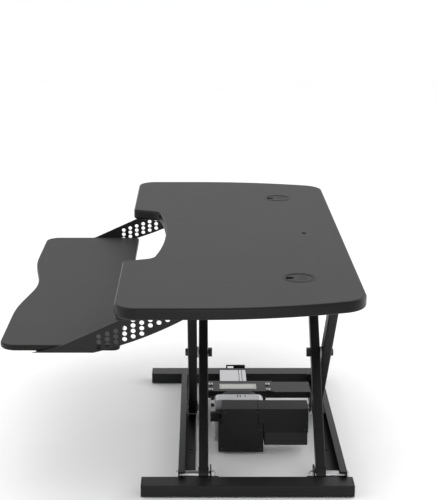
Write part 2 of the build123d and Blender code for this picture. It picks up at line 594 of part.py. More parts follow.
def gear_housing():
    shell = block(72, PLATE_X0, HOUSING_Y0, HOUSING_Y1, HOUSING_Z0, HOUSING_Z1)
    shell = fillet(shell.edges().filter_by(Axis.X).group_by(Axis.Z)[-1], HOUSING_CORNER_R)
    shell -= block(74.5, PLATE_X0 + 1, HOUSING_Y0 + 3, HOUSING_Y1 - 3, HOUSING_Z0 + 3, HOUSING_Z1 - 3)
    return shell - rod_x(TUBE_Y, TUBE_Z, SPINDLE_R + 0.3, 70, 76)


def drive_hood():
    """Silver cover over the tube, behind the gears, with three vents in its top."""
    shell = block(HOOD_X0, 72, HOUSING_Y0, HOUSING_Y1, BEAM_Z0 + 0.5, HOUSING_Z1)
    shell = fillet(shell.edges().filter_by(Axis.X).group_by(Axis.Z)[-1], HOUSING_CORNER_R)
    shell -= block(HOOD_X0 + HOOD_WALL, 73, HOUSING_Y0 + HOOD_WALL, HOUSING_Y1 - HOOD_WALL,
                   BEAM_Z0 + 0.5 + HOOD_WALL, HOUSING_Z1 - HOOD_WALL)
    for y in (130.0, 137.0, 149.0):
        shell -= block(HOOD_X0 + 6, 68, y - 1.5, y + 1.5, HOUSING_Z1 - 5, HOUSING_Z1 + 1)
    return shell


def hood_cap():
    """Black cap with a rounded top, on the hood's rear end."""
    shell = block(HOOD_CAP_X0, HOOD_X0, HOOD_CAP_Y0, HOOD_CAP_Y1, BEAM_Z0 + 0.5, HOUSING_Z1)
    shell = fillet(shell.edges().filter_by(Axis.X).group_by(Axis.Z)[-1], HOOD_CAP_R)
    return shell - block(HOOD_CAP_X0 + HOOD_WALL, HOOD_X0 + 1, HOOD_CAP_Y0 + HOOD_WALL,
                         HOOD_CAP_Y1 - HOOD_WALL, BEAM_Z0 + 0.5 + HOOD_WALL, HOUSING_Z1 - HOOD_CAP_R)


def drive_plate():
    plate = block(PLATE_X0, PLATE_X1, COVER_Y0, CONTROL_Y1, HOUSING_Z0 + 20, STEP_Z)
    plate += block(PLATE_X0, PLATE_X1, COVER_STEP_Y0, CONTROL_Y1, STEP_Z, BOX_TOP)
    return plate - rod_x(TUBE_Y, MOTOR_Z, 4.3, PLATE_X0 - 1, PLATE_X1 + 1)


def gear(teeth, x0, x1, bore, phase):
    """Straight-toothed gear about +X through the origin; phase is in tooth pitches."""
    pitch_r = GEAR_MODULE * teeth / 2
    root, tip = pitch_r - 1.2 * GEAR_MODULE, pitch_r + 0.75 * GEAR_MODULE
    points = []
    for index in range(teeth):
        centre = 2 * math.pi * (index + phase) / teeth
        for radius, half_width in ((root, -0.85), (tip, -0.28), (tip, 0.28), (root, 0.85)):
            turn = centre + half_width * GEAR_MODULE / radius
            points.append((radius * math.cos(turn), radius * math.sin(turn)))
    profile = Plane.YZ * Polygon(*points, align=None)
    blank = Pos(x0, 0, 0) * extrude(profile, x1 - x0)
    return blank - rod_x(0, 0, bore, x0 - 1, x1 + 1)


MOTOR_Z = TUBE_Z + GEAR_MODULE * (GEAR_TEETH + PINION_TEETH) / 2
MOTOR_SHAFT_R, MOTOR_R = 4.0, 24.0


def spindle():
    return rod_x(TUBE_Y, TUBE_Z, SPINDLE_R, -138, 85)


def drive_gear():
    return Pos(0, TUBE_Y, TUBE_Z) * gear(GEAR_TEETH, GEAR_X0, GEAR_X1, SPINDLE_R, GEAR_TEETH / 4)


def motor_rotor():
    """Motor shaft with its pinion."""
    phase = PINION_TEETH * 0.75 + 0.5
    pinion = Pos(0, TUBE_Y, MOTOR_Z) * gear(PINION_TEETH, GEAR_X0, GEAR_X1, MOTOR_SHAFT_R - 1, phase)
    return pinion + rod_x(TUBE_Y, MOTOR_Z, MOTOR_SHAFT_R, GEAR_X0, 136)


def motor_body():
    can = rod_x(TUBE_Y, MOTOR_Z, MOTOR_R, PLATE_X1, 140)
    return can - rod_x(TUBE_Y, MOTOR_Z, MOTOR_SHAFT_R + RUN, PLATE_X1 - 1, 137)


def open_box(x0, x1, y0, y1, z0, z1, wall, radius):
    """Cover that is open on its -X side."""
    shell = block(x0, x1, y0, y1, z0, z1)
    shell = fillet(shell.edges().filter_by(Axis.X) + shell.faces().sort_by(Axis.X)[-1].edges(), radius)
    return shell - block(x0 - 1, x1 - wall, y0 + wall, y1 - wall, z0 + wall, z1 - wall)


def motor_cover():
    """Cover with a narrower upper part, open on its -X side."""
    shell = open_box(PLATE_X1, BOX_X1, COVER_Y0, COVER_Y1, COVER_Z0, STEP_Z, COVER_WALL, 1.5)
    shell += open_box(PLATE_X1, BOX_X1, COVER_STEP_Y0, COVER_STEP_Y1, STEP_Z - COVER_WALL, BOX_TOP,
                      COVER_WALL, 1.5)
    return shell - block(PLATE_X1 - 1, BOX_X1 - COVER_WALL, COVER_STEP_Y0 + COVER_WALL,
                         COVER_STEP_Y1 - COVER_WALL, STEP_Z - 5, STEP_Z + 5)


def control_box_cover():
    """Cover with a shoulder that reaches over the motor cover's lower part."""
    shell = block(PLATE_X1, BOX_X1, CONTROL_Y0, CONTROL_Y1, CONTROL_SPLIT, BOX_TOP)
    shell += block(PLATE_X1, BOX_X1, COVER_STEP_Y1 + 0.5, CONTROL_Y0 + 1, STEP_Z + 0.5, BOX_TOP)
    shell = fillet(shell.edges().filter_by(Axis.Y).group_by(Axis.Z)[-1], 1.5)
    return shell - block(PLATE_X1 + 2, BOX_X1 - COVER_WALL, CONTROL_Y0 + COVER_WALL,
                         CONTROL_Y1 - COVER_WALL, CONTROL_SPLIT - 1, BOX_TOP - COVER_WALL)


def control_box_base():
    shell = block(PLATE_X1, BOX_X1 - 1, CONTROL_Y0 + 1, CONTROL_Y1 - 1, CONTROL_Z0, CONTROL_SPLIT)
    shell = fillet(shell.edges().filter_by(Axis.Z).group_by(Axis.X)[-1], 3)
    inset = COVER_WALL + 1
    shell -= block(PLATE_X1 + 2, BOX_X1 - inset, CONTROL_Y0 + inset, CONTROL_Y1 - inset,
                   CONTROL_Z0 + COVER_WALL, CONTROL_SPLIT + 1)
    return shell - block(104, 132, CONTROL_Y1 - 6, CONTROL_Y1 + 1, 34, 54)


def power_inlet():
    body = block(104, 132, CONTROL_Y1 - 18, CONTROL_Y1 - 1, 34, 54)
    body -= block(107, 129, CONTROL_Y1 - 15, CONTROL_Y1 + 1, 37, 51)
    for x in (111.5, 118.0, 124.5):
        body += block(x - 1, x + 1, CONTROL_Y1 - 16, CONTROL_Y1 - 4, 41.5, 46.5)
    return body


def circuit_board():
    board = block(PLATE_X1 + 4, BOX_X1 - 5, CONTROL_Y0 + 5, CONTROL_Y1 - 22, 66, 67.6)
    chips = block(100, 112, 205, 217, 67.6, 71) + block(118, 136, 222, 232, 67.6, 74)
    return board + chips


def transformer():
    return block(96, 138, CONTROL_Y0 + 8, CONTROL_Y0 + 52, 78, 110)


def cable_entry_block():
    return block(PLATE_X0, 98, 64, COVER_Y0, 66, STEP_Z) + block(PLATE_X0, 98, 64, COVER_STEP_Y0, STEP_Z, 88)


# ---------------------------------------------------------------- nodes
def both(make, sides):
    """The same piece made on both sides, as one node."""
    return group([make(sign) for sign in sides.values()])


NODES = {
    "desktop": desktop(),
    "platform_screws": platform_screws(),
    "keyboard_tray": keyboard_tray(),
    "upper_channels": both(upper_channel, SIDES),
    "upper_pivot_brackets": upper_pivot_brackets(),
    "hand_switch_housing": hand_switch_housing(),
    "grommet_liners": both(grommet_liner, HANDS),
    "up_button": switch_button(BUTTON_X["up"]),
    "down_button": switch_button(BUTTON_X["down"]),
    "base_rails": both(base_rail, HANDS),
    "rail_end_caps": rail_end_caps(),
    "rubber_feet": rubber_feet(),
    "base_channels": both(base_channel, SIDES),
    "base_brackets": base_brackets(),
    "base_screws": base_screws(),
    "lower_pivot_bolts": lower_pivot_bolts(),
    "actuator_anchor": actuator_anchor(),
    "actuator_inner_tube": actuator_inner_tube(),
    "spindle_nut": spindle_nut(),
    "inner_tie_bar": inner_tie_bar(),
    "upper_roller_shaft": upper_roller_shaft(),
    "upper_pivot_shaft": upper_pivot_shaft(),
    "outer_leg_spacers": outer_leg_spacers(),
    "lower_axles": lower_axles(),
    "centre_bolts": centre_bolts(),
    "centre_nuts": centre_nuts(),
    "carriage_beam": carriage_beam(),
    "carriage_cheeks": carriage_cheeks(),
    "saddle_plate": saddle_plate(),
    "saddle_screws": saddle_screws(),
    "blank_label": blank_label(),
    "actuator_outer_tube": actuator_outer_tube(),
    "spindle_bearing": spindle_bearing(),
    "gear_housing": gear_housing(),
    "drive_hood": drive_hood(),
    "hood_cap": hood_cap(),
    "drive_plate": drive_plate(),
    "spindle": spindle(),
    "drive_gear": drive_gear(),
    "motor_rotor": motor_rotor(),
    "motor_body": motor_body(),
    "motor_cover": motor_cover(),
    "control_box_cover": control_box_cover(),
    "control_box_base": control_box_base(),
    "power_inlet": power_inlet(),
    "circuit_board": circuit_board(),
    "transformer": transformer(),
    "cable_entry_block": cable_entry_block(),
}
for hand_name, hand in HANDS.items():
    NODES["tray_bracket_" + hand_name] = tray_bracket(hand)
    NODES["grommet_cap_" + hand_name] = grommet_cap(hand)
for side_name, side in SIDES.items():
    NODES["inner_leg_" + side_name] = inner_leg(side)
    NODES["outer_leg_" + side_name] = outer_leg(side)
    NODES["upper_roller_" + side_name] = roller(P2, side)
    NODES["lower_roller_" + side_name] = roller(Q1, side)

os.makedirs("parts", exist_ok=True)
for name, shape in NODES.items():
    export_step(shape, "parts/" + name + ".step")
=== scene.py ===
import json
import math

import bmesh
import bpy
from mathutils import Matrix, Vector


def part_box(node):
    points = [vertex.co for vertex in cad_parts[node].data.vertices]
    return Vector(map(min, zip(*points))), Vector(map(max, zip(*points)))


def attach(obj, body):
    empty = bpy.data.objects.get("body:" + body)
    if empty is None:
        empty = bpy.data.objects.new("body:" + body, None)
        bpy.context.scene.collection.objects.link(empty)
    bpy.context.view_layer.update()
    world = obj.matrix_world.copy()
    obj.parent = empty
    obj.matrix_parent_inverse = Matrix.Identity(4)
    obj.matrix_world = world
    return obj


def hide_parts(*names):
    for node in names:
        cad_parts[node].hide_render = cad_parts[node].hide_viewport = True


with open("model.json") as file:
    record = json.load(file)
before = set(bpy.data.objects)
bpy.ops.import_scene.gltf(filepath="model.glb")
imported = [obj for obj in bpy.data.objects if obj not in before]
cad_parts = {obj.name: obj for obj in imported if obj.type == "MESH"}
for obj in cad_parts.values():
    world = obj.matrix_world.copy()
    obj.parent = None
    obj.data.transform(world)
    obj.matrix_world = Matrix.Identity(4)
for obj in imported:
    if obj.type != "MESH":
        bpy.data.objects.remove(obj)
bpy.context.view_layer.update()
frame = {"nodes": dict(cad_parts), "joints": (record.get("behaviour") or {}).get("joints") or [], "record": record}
NODES = frame["nodes"]
MM = 0.001
SUNK = 0.2 * MM             # how far an added head or rim is let into the face it sits on
BLOTCH_SCALE = 4.0          # wide colour noise
BUMP_DEPTH = 0.2 * MM
LENS_MM, SENSOR_MM, CAMERA_SHIFT = 93.6, 36.0, 0.037
CAMERA_AT, CAMERA_DOWN_DEG = (3.024, 0.038, 1.2588), 14.66


# ---------------------------------------------------------------- camera, light, floor
def make_camera():
    data = bpy.data.cameras.new("camera")
    data.lens = LENS_MM
    data.sensor_width = SENSOR_MM
    data.shift_x = CAMERA_SHIFT
    camera = bpy.data.objects.new("camera", data)
    camera.location = CAMERA_AT
    camera.rotation_euler = (math.radians(90 - CAMERA_DOWN_DEG), 0, math.radians(90))
    bpy.context.scene.collection.objects.link(camera)
    bpy.context.scene.camera = camera


def area_light(name, place, target, size, power, tint=(1, 1, 1)):
    data = bpy.data.lights.new(name, "AREA")
    data.shape = "RECTANGLE"
    data.size, data.size_y = size
    data.energy = power
    data.color = tint
    lamp = bpy.data.objects.new(name, data)
    lamp.location = place
    lamp.rotation_euler = (Vector(target) - Vector(place)).to_track_quat("-Z", "Y").to_euler()
    bpy.context.scene.collection.objects.link(lamp)


def make_studio():
    scene = bpy.context.scene
    scene.view_settings.view_transform = "Standard"
    world = bpy.data.worlds.new("studio")
    world.use_nodes = True
    world.node_tree.nodes["Background"].inputs["Color"].default_value = (1.0, 1.0, 1.0, 1)
    world.node_tree.nodes["Background"].inputs["Strength"].default_value = 1.0
    scene.world = world
    centre = (0, 0.05, 0.3)
    area_light("overhead", (0.1, 0.1, 2.6), centre, (2.6, 2.2), 16)
    area_light("front_key", (1.3, -2.4, 1.5), centre, (1.6, 1.6), 16)
    area_light("rear_fill", (-0.6, 2.6, 1.2), centre, (1.8, 1.4), 12)
    area_light("side_fill", (2.7, 0.4, 0.6), (0, 0.2, 0.2), (1.2, 0.9), 7)

    floor_size = 14.0
    mesh = bpy.data.meshes.new("floor")
    half = floor_size / 2
    corners = [(-half, -half, 0), (half, -half, 0), (half, half, 0), (-half, half, 0)]
    mesh.from_pydata(corners, [], [(0, 1, 2, 3)])
    floor = bpy.data.objects.new("floor", mesh)
    bpy.context.scene.collection.objects.link(floor)
    floor.data.materials.append(plain_floor())


# ---------------------------------------------------------------- materials
def new_material(name):
    material = bpy.data.materials.new(name)
    material.use_nodes = True
    tree = material.node_tree
    return material, tree, tree.nodes["Principled BSDF"]


def plain_floor():
    material, tree, shader = new_material("pale_floor")
    shader.inputs["Roughness"].default_value = 0.9
    shader.inputs["Specular IOR Level"].default_value = 0.1
    noise = noise_texture(tree, 3.0, 3.0)
    ramp = two_tones(tree, noise, (0.985, 0.985, 0.985), (1.0, 1.0, 1.0))
    tree.links.new(ramp, shader.inputs["Base Color"])
    return material


def noise_texture(tree, scale, detail, stretch=(1, 1, 1)):
    place = tree.nodes.new("ShaderNodeTexCoord")
    mapping = tree.nodes.new("ShaderNodeMapping")
    mapping.inputs["Scale"].default_value = stretch
    noise = tree.nodes.new("ShaderNodeTexNoise")
    noise.inputs["Scale"].default_value = scale
    noise.inputs["Detail"].default_value = detail
    tree.links.new(place.outputs["Object"], mapping.inputs["Vector"])
    tree.links.new(mapping.outputs["Vector"], noise.inputs["Vector"])
    return noise.outputs["Fac"]


def two_tones(tree, factor, low, high, at=(0.35, 0.65)):
    ramp = tree.nodes.new("ShaderNodeValToRGB")
    ramp.color_ramp.elements[0].position, ramp.color_ramp.elements[1].position = at
    ramp.color_ramp.elements[0].color = (*low, 1)
    ramp.color_ramp.elements[1].color = (*high, 1)
    tree.links.new(factor, ramp.inputs["Fac"])
    return ramp.outputs["Color"]


def span_of(tree, factor, low, high):
    spread = tree.nodes.new("ShaderNodeMapRange")
    spread.inputs["From Min"].default_value = 0.3
    spread.inputs["From Max"].default_value = 0.7
    spread.inputs["To Min"].default_value = low
    spread.inputs["To Max"].default_value = high
    tree.links.new(factor, spread.inputs["Value"])
    return spread.outputs["Result"]


def add_bump(tree, shader, height, strength, depth):
    bump = tree.nodes.new("ShaderNodeBump")
    bump.inputs["Strength"].default_value = strength
    bump.inputs["Distance"].default_value = depth
    tree.links.new(height, bump.inputs["Height"])
    tree.links.new(bump.outputs["Normal"], shader.inputs["Normal"])


def surface(name, tones, rough, grain, relief, metal=0.0, stretch=(1, 1, 1), specular=0.5):
    """Principled material: blotchy colour, grained roughness and bump. grain is the fine noise's scale."""
    material, tree, shader = new_material(name)
    shader.inputs["Metallic"].default_value = metal
    shader.inputs["Specular IOR Level"].default_value = specular
    wide = noise_texture(tree, BLOTCH_SCALE, 4.0, stretch)
    fine = noise_texture(tree, grain, 3.0, stretch)
    mix = tree.nodes.new("ShaderNodeMath")
    mix.operation = "MULTIPLY_ADD"
    mix.inputs[1].default_value = 0.5
    tree.links.new(fine, mix.inputs[0])
    halved = tree.nodes.new("ShaderNodeMath")
    halved.operation = "MULTIPLY"
    halved.inputs[1].default_value = 0.5
    tree.links.new(wide, halved.inputs[0])
    tree.links.new(halved.outputs[0], mix.inputs[2])
    tree.links.new(two_tones(tree, mix.outputs[0], *tones), shader.inputs["Base Color"])
    tree.links.new(span_of(tree, fine, *rough), shader.inputs["Roughness"])
    add_bump(tree, shader, fine, relief, BUMP_DEPTH)
    return material


def board_material():
    """Dark laminate faces; the rounded edge and other sideways faces get a smoother finish and a near-black colour
    that is painted shade.
    """
    material, tree, shader = new_material("desk_laminate")
    fine = noise_texture(tree, 1400.0, 2.0)
    wide = noise_texture(tree, 6.0, 3.0)
    face = two_tones(tree, fine, (0.026, 0.026, 0.028), (0.036, 0.036, 0.038))
    cloud = two_tones(tree, wide, (0.93, 0.93, 0.93), (1.0, 1.0, 1.0))
    tint = tree.nodes.new("ShaderNodeMix")
    tint.data_type = "RGBA"
    tint.blend_type = "MULTIPLY"
    tint.inputs["Factor"].default_value = 1.0
    tree.links.new(face, tint.inputs["A"])
    tree.links.new(cloud, tint.inputs["B"])
    normal = tree.nodes.new("ShaderNodeTexCoord")
    parts = tree.nodes.new("ShaderNodeSeparateXYZ")
    tree.links.new(normal.outputs["Normal"], parts.inputs["Vector"])
    size = tree.nodes.new("ShaderNodeMath")
    size.operation = "ABSOLUTE"
    tree.links.new(parts.outputs["Z"], size.inputs[0])
    # mask of faces that point up or down; sideways faces outside it get the painted shade
    flat = tree.nodes.new("ShaderNodeMapRange")
    flat.inputs["From Min"].default_value = 0.86
    flat.inputs["From Max"].default_value = 0.94
    tree.links.new(size.outputs[0], flat.inputs["Value"])
    side_shade_mix = tree.nodes.new("ShaderNodeMix")
    side_shade_mix.data_type = "RGBA"
    tree.links.new(flat.outputs["Result"], side_shade_mix.inputs["Factor"])
    # painted shade: near-black base colour on the rounded edge and the other sideways faces
    side_shade_mix.inputs["A"].default_value = (0.0025, 0.0025, 0.0027, 1)
    tree.links.new(tint.outputs["Result"], side_shade_mix.inputs["B"])
    tree.links.new(side_shade_mix.outputs["Result"], shader.inputs["Base Color"])
    rough = tree.nodes.new("ShaderNodeMapRange")
    rough.inputs["To Min"].default_value = 0.3
    rough.inputs["To Max"].default_value = 0.56
    tree.links.new(flat.outputs["Result"], rough.inputs["Value"])
    tree.links.new(rough.outputs["Result"], shader.inputs["Roughness"])
    shader.inputs["Specular IOR Level"].default_value = 0.2
    add_bump(tree, shader, fine, 0.25, BUMP_DEPTH / 2)
    return material


def greys(low, high, blue=0.0005):
    """Two nearly neutral tones, a little blue."""
    return (low, low, low + blue), (high, high, high + blue)


MATERIALS = {
    "desk_laminate": board_material(),
    "black_steel": surface("black_steel", greys(0.0035, 0.007), (0.34, 0.48), 900, 0.35, specular=0.25),
    "zinc_steel": surface("zinc_steel", greys(0.42, 0.6, 0.01), (0.25, 0.42), 700, 0.15, metal=1.0),
    "black_plastic": surface("black_plastic", greys(0.003, 0.006), (0.42, 0.56), 1100, 0.4, specular=0.25),
    "grey_plastic": surface("grey_plastic", greys(0.010, 0.016), (0.42, 0.55), 1100, 0.4, specular=0.3),
    "rubber": surface("rubber", greys(0.006, 0.011, 0), (0.75, 0.9), 600, 0.6, specular=0.2),
    "aluminium": surface("aluminium", greys(0.52, 0.64, 0.02), (0.3, 0.44), 260, 0.2, metal=1.0,
                         stretch=(0.06, 1, 1)),
    "label": surface("label", ((0.66, 0.66, 0.62), (0.74, 0.74, 0.7)), (0.35, 0.45), 300, 0.05),
    "nylon": surface("nylon", ((0.38, 0.38, 0.36), (0.5, 0.5, 0.47)), (0.3, 0.42), 500, 0.15),
    "circuit_green": surface("circuit_green", ((0.01, 0.07, 0.03), (0.02, 0.12, 0.05)), (0.3, 0.5), 500, 0.3),
    "brass": surface("brass", ((0.5, 0.36, 0.14), (0.62, 0.46, 0.2)), (0.25, 0.4), 500, 0.1, metal=1.0),
    "dark_steel": surface("dark_steel", greys(0.02, 0.06, 0.001), (0.28, 0.42), 700, 0.2, metal=0.8),
}


def dress_cad():
    slots = {part["node"]: part["material_slot"] for part in frame["record"]["subparts"]}
    for name, node in NODES.items():
        material = MATERIALS[slots[name]]
        if not node.material_slots:
            node.data.materials.append(material)
        for place in node.material_slots:
            place.material = material


# ---------------------------------------------------------------- mesh helpers
def add_piece(name, mesh_maker, slot, body, smooth_angle=35):
    """Runs mesh_maker on an empty bmesh and adds the result as a piece that rides on body."""
    shape = bmesh.new()
    mesh_maker(shape)
    bmesh.ops.recalc_face_normals(shape, faces=shape.faces)
    mesh = bpy.data.meshes.new(name)
    shape.to_mesh(mesh)
    shape.free()
    piece = bpy.data.objects.new(name, mesh)
    bpy.context.scene.collection.objects.link(piece)
    mesh.materials.append(MATERIALS[slot])
    for face in mesh.polygons:
        face.use_smooth = True
    mesh.set_sharp_from_angle(angle=math.radians(smooth_angle))
    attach(piece, body)
    return piece


def frame_of(axis):
    """Two directions square to axis."""
    axis = Vector(axis).normalized()
    side = axis.orthogonal().normalized()
    return axis, side, axis.cross(side)


def add_lathe(shape, centre, axis, profile, count=40, wave=None):
    """Closed solid of revolution. profile is (radius, height) from one end of the axis to the other."""
    axis, side, up = frame_of(axis)
    centre = Vector(centre)
    rings = []
    for index, (radius, height) in enumerate(profile):
        ring = []
        for step in range(count):
            turn = 2 * math.pi * step / count
            spread = radius * (wave(index, turn) if wave else 1.0)
            ring.append(shape.verts.new(centre + axis * height + side * spread * math.cos(turn)
                                        + up * spread * math.sin(turn)))
        rings.append(ring)
    for low, high in zip(rings, rings[1:]):
        for step in range(count):
            after = (step + 1) % count
            shape.faces.new((low[step], low[after], high[after], high[step]))
    shape.faces.new(rings[0][::-1])
    shape.faces.new(rings[-1])


def hexagon_radius(turn):
    """Radius of a hexagon at an angle, as a share of its corner radius."""
    sector = math.pi / 3
    return math.cos(sector / 2) / math.cos((turn % sector) - sector / 2)


def add_socket_screw(shape, seat, axis, radius, height):
    """Button head with a hexagon socket; seat is the middle of its flat underside."""
    crown, socket = 0.28 * radius, 0.46 * radius
    profile = [(radius * 0.97, 0.0), (radius, 0.12 * height), (radius, height - crown)]
    for step in range(1, 6):
        turn = math.pi / 2 * step / 5
        profile.append((radius - crown + crown * math.cos(turn), height - crown + crown * math.sin(turn)))
    profile += [(radius * 0.50, height), (socket, height - 0.04 * radius), (socket, height * 0.35)]
    hex_from = len(profile) - 3

    def wave(index, turn):
        return hexagon_radius(turn) if index >= hex_from else 1.0

    add_lathe(shape, seat, axis, profile, 48, wave)


def add_block(shape, low, high, radius=0.0006, segments=3):
    """Box with every edge rounded."""
    made = bmesh.ops.create_cube(shape, size=1.0)
    low, high = Vector(low), Vector(high)
    for vert in made["verts"]:
        vert.co = Vector(((low[i] + high[i]) / 2 + vert.co[i] * (high[i] - low[i])) for i in range(3))
    if radius:
        edges = list({edge for vert in made["verts"] for edge in vert.link_edges})
        bmesh.ops.bevel(shape, geom=edges, offset=radius, segments=segments, affect="EDGES", profile=0.5)


def add_torus(shape, centre, axis, major, minor, count=48, around=10):
    axis, side, up = frame_of(axis)
    centre = Vector(centre)
    rings = []
    for step in range(count):
        turn = 2 * math.pi * step / count
        out = side * math.cos(turn) + up * math.sin(turn)
        ring = []
        for part in range(around):
            bend = 2 * math.pi * part / around
            spread, lift = major + minor * math.cos(bend), minor * math.sin(bend)
            ring.append(shape.verts.new(centre + out * spread + axis * lift))
        rings.append(ring)
    for step in range(count):
        first, second = rings[step], rings[(step + 1) % count]
        for part in range(around):
            after = (part + 1) % around
            shape.faces.new((first[part], first[after], second[after], second[part]))


# ---------------------------------------------------------------- places read from the frame
def middle(low, high):
    return (Vector(low) + Vector(high)) / 2


def node_box(name):
    low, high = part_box(name)
    return Vector(low), Vector(high)


JOINTS = {joint["name"]: joint for joint in frame["joints"]}
CENTRE = Vector(JOINTS["scissor_centre"]["pos_m"])
MID_Y = CENTRE.y


# ---------------------------------------------------------------- detailed pieces
def saddle_screws():
    """The saddle plate's four button-head screws."""
    low, high = node_box("saddle_screws")
    radius, height = 6 * MM, high.z - low.z
    xs = (low.x + radius, high.x - radius)
    ys = (low.y + radius, high.y - radius)

    def make(shape):
        for x in xs:
            for y in ys:
                add_socket_screw(shape, (x, y, low.z), (0, 0, 1), radius, height)

    piece = add_piece("saddle_button_screws", make, "zinc_steel", "carriage")
    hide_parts("saddle_screws")


def centre_bolts():
    """Pan-head pivot bolts through the scissor's centre, with hexagon sockets."""
    low, high = node_box("centre_bolts")
    radius = (high.z - low.z) / 2
    shank = 6.0 * MM
    head = 6.3 * MM

    def make(shape):
        for outward, end in ((-1, low.y), (1, high.y)):
            seat = Vector((CENTRE.x, end - outward * head, CENTRE.z))
            add_socket_screw(shape, seat, (0, outward, 0), radius, head)
            length = 57.2 * MM
            add_lathe(shape, seat - Vector((0, outward * length, 0)), (0, outward, 0),
                      [(shank - 0.6 * MM, 0), (shank, 0.6 * MM), (shank, length)], 32)

    piece = add_piece("centre_pivot_bolts", make, "dark_steel", "outer_legs")
    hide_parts("centre_bolts")


def hood_side_bolts():
    """Black bolts that stand out of the hood cap's sides, behind the silver hood."""
    low, high = node_box("hood_cap")
    hood_low, hood_high = node_box("drive_hood")
    x, reach, inside = low.x + 6 * MM, 8 * MM, 8 * MM
    upper, lower = high.z - 17 * MM, high.z - 35 * MM
    near, far = (hood_low.y - reach, low.y + inside, -1), (hood_high.y + reach, high.y - inside, 1)
    places = [(*near, upper), (*near, lower), (*far, upper)]

    def make(shape):
        for end, start, outward, z in places:
            length = abs(end - start)
            add_lathe(shape, (x, start, z), (0, outward, 0),
                      [(2.9 * MM, 0), (2.9 * MM, length - 6.5 * MM)], 24)
            add_socket_screw(shape, (x, end - outward * 7 * MM, z), (0, outward, 0), 4.4 * MM, 7 * MM)

    add_piece("hood_side_bolts", make, "black_plastic", "carriage")


def tube_groove_shade_strips():
    """Painted shade: thin dark strips, in the rubber material, that lie in the two grooves along the sliding
    tubes.
    """
    for node, body in (("actuator_inner_tube", "base"), ("actuator_outer_tube", "carriage")):
        low, high = node_box(node)
        middle_y = (low.y + high.y) / 2

        def make(shape, low=low, high=high, middle_y=middle_y):
            for offset in (16 * MM, 24 * MM):
                y = middle_y + offset
                add_block(shape, (low.x + 1 * MM, y - 0.78 * MM, high.z - 1.3 * MM),
                          (high.x - 1 * MM, y + 0.78 * MM, high.z - 0.15 * MM), 0.1 * MM, 1)

        # the dark strips are painted shade standing in for the shade inside each groove
        add_piece(node.replace("actuator", "groove"), make, "rubber", body)


def motor_cover_trim():
    """Screws at the stepped motor cover's corners, and faint ribs low on its front face."""
    low, high = node_box("motor_cover")
    face = high.x
    inset, step_in = 8 * MM, 9 * MM
    places = [(y, low.z + inset) for y in (low.y + inset, high.y - inset)]
    places += [(y, high.z - inset) for y in (low.y + step_in + inset, high.y - step_in - inset + 3 * MM)]

    def screws(shape):
        for y, z in places:
            add_socket_screw(shape, (face - SUNK, y, z), (1, 0, 0), 3 * MM, 1.8 * MM)

    def ribs(shape):
        middle_y = (low.y + high.y) / 2
        for step in range(-3, 4):
            y = middle_y + step * 7 * MM
            add_block(shape, (face - 0.3 * MM, y - 1.1 * MM, low.z + 12 * MM),
                      (face + 0.6 * MM, y + 1.1 * MM, low.z + 36 * MM), 0.3 * MM)

    add_piece("motor_cover_screws", screws, "dark_steel", "carriage")
    add_piece("motor_cover_ribs", ribs, "black_plastic", "carriage")


def control_box_trim():
    """Two screws low on the cover's front face, and the lip where the base meets the cover."""
    cover_low, cover_high = node_box("control_box_cover")
    base_low, base_high = node_box("control_box_base")

    def screws(shape):
        for y in (cover_low.y + 7 * MM, cover_high.y - 7 * MM):
            seat = (cover_high.x - SUNK, y, cover_low.z + 7 * MM)
            add_socket_screw(shape, seat, (1, 0, 0), 2.6 * MM, 1.6 * MM)

    def lip(shape):
        add_block(shape, (base_low.x + 1 * MM, base_low.y + 0.3 * MM, base_high.z - 1.4 * MM),
                  (base_high.x + 0.8 * MM, base_high.y + 0.6 * MM, base_high.z - 0.2 * MM), 0.3 * MM)

    add_piece("control_box_screws", screws, "dark_steel", "carriage")
    add_piece("control_box_lip", lip, "black_plastic", "carriage")


def button_arrows():
    """Raised triangles on the two buttons."""
    for name, sign in (("up_button", 1), ("down_button", -1)):
        low, high = node_box(name)
        centre = middle(low, high)

        def make(shape, centre=centre, front=low.y, sign=sign):
            corners = ((-2.8, -2.0), (2.8, -2.0), (0.0, 2.8))
            rings = []
            for y, grow in ((front - 0.35 * MM, 0.85), (front + SUNK, 1.0)):
                rings.append([shape.verts.new((centre.x + a * grow * MM, y, centre.z + sign * b * grow * MM))
                              for a, b in corners])
            shape.faces.new(rings[0])
            shape.faces.new(rings[1][::-1])
            for i in range(3):
                j = (i + 1) % 3
                shape.faces.new((rings[0][i], rings[1][i], rings[1][j], rings[0][j]))

        add_piece(name + "_arrow", make, "nylon", name)


def grommet_rings():
    """Two raised rims on each grommet's flange, and a finger ring on its cap."""
    for hand in ("left", "right"):
        low, high = node_box("grommet_cap_" + hand)
        x = (low.x + high.x) / 2
        y = high.y - (high.x - low.x) / 2
        flange_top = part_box("grommet_liners")[1][2]

        def rim(shape, x=x, y=y):
            add_torus(shape, (x, y, flange_top - SUNK), (0, 0, 1), 35.3 * MM, 0.7 * MM)
            add_torus(shape, (x, y, flange_top - SUNK), (0, 0, 1), 29.3 * MM, 0.6 * MM)

        def dimple(shape, x=x, y=y, top=high.z):
            add_torus(shape, (x, y + 8 * MM, top - 0.1 * MM), (0, 0, 1), 9.5 * MM, 0.5 * MM)

        add_piece("grommet_rim_" + hand, rim, "black_plastic", "platform")
        add_piece("grommet_dimple_" + hand, dimple, "black_plastic", "grommet_cap_" + hand)


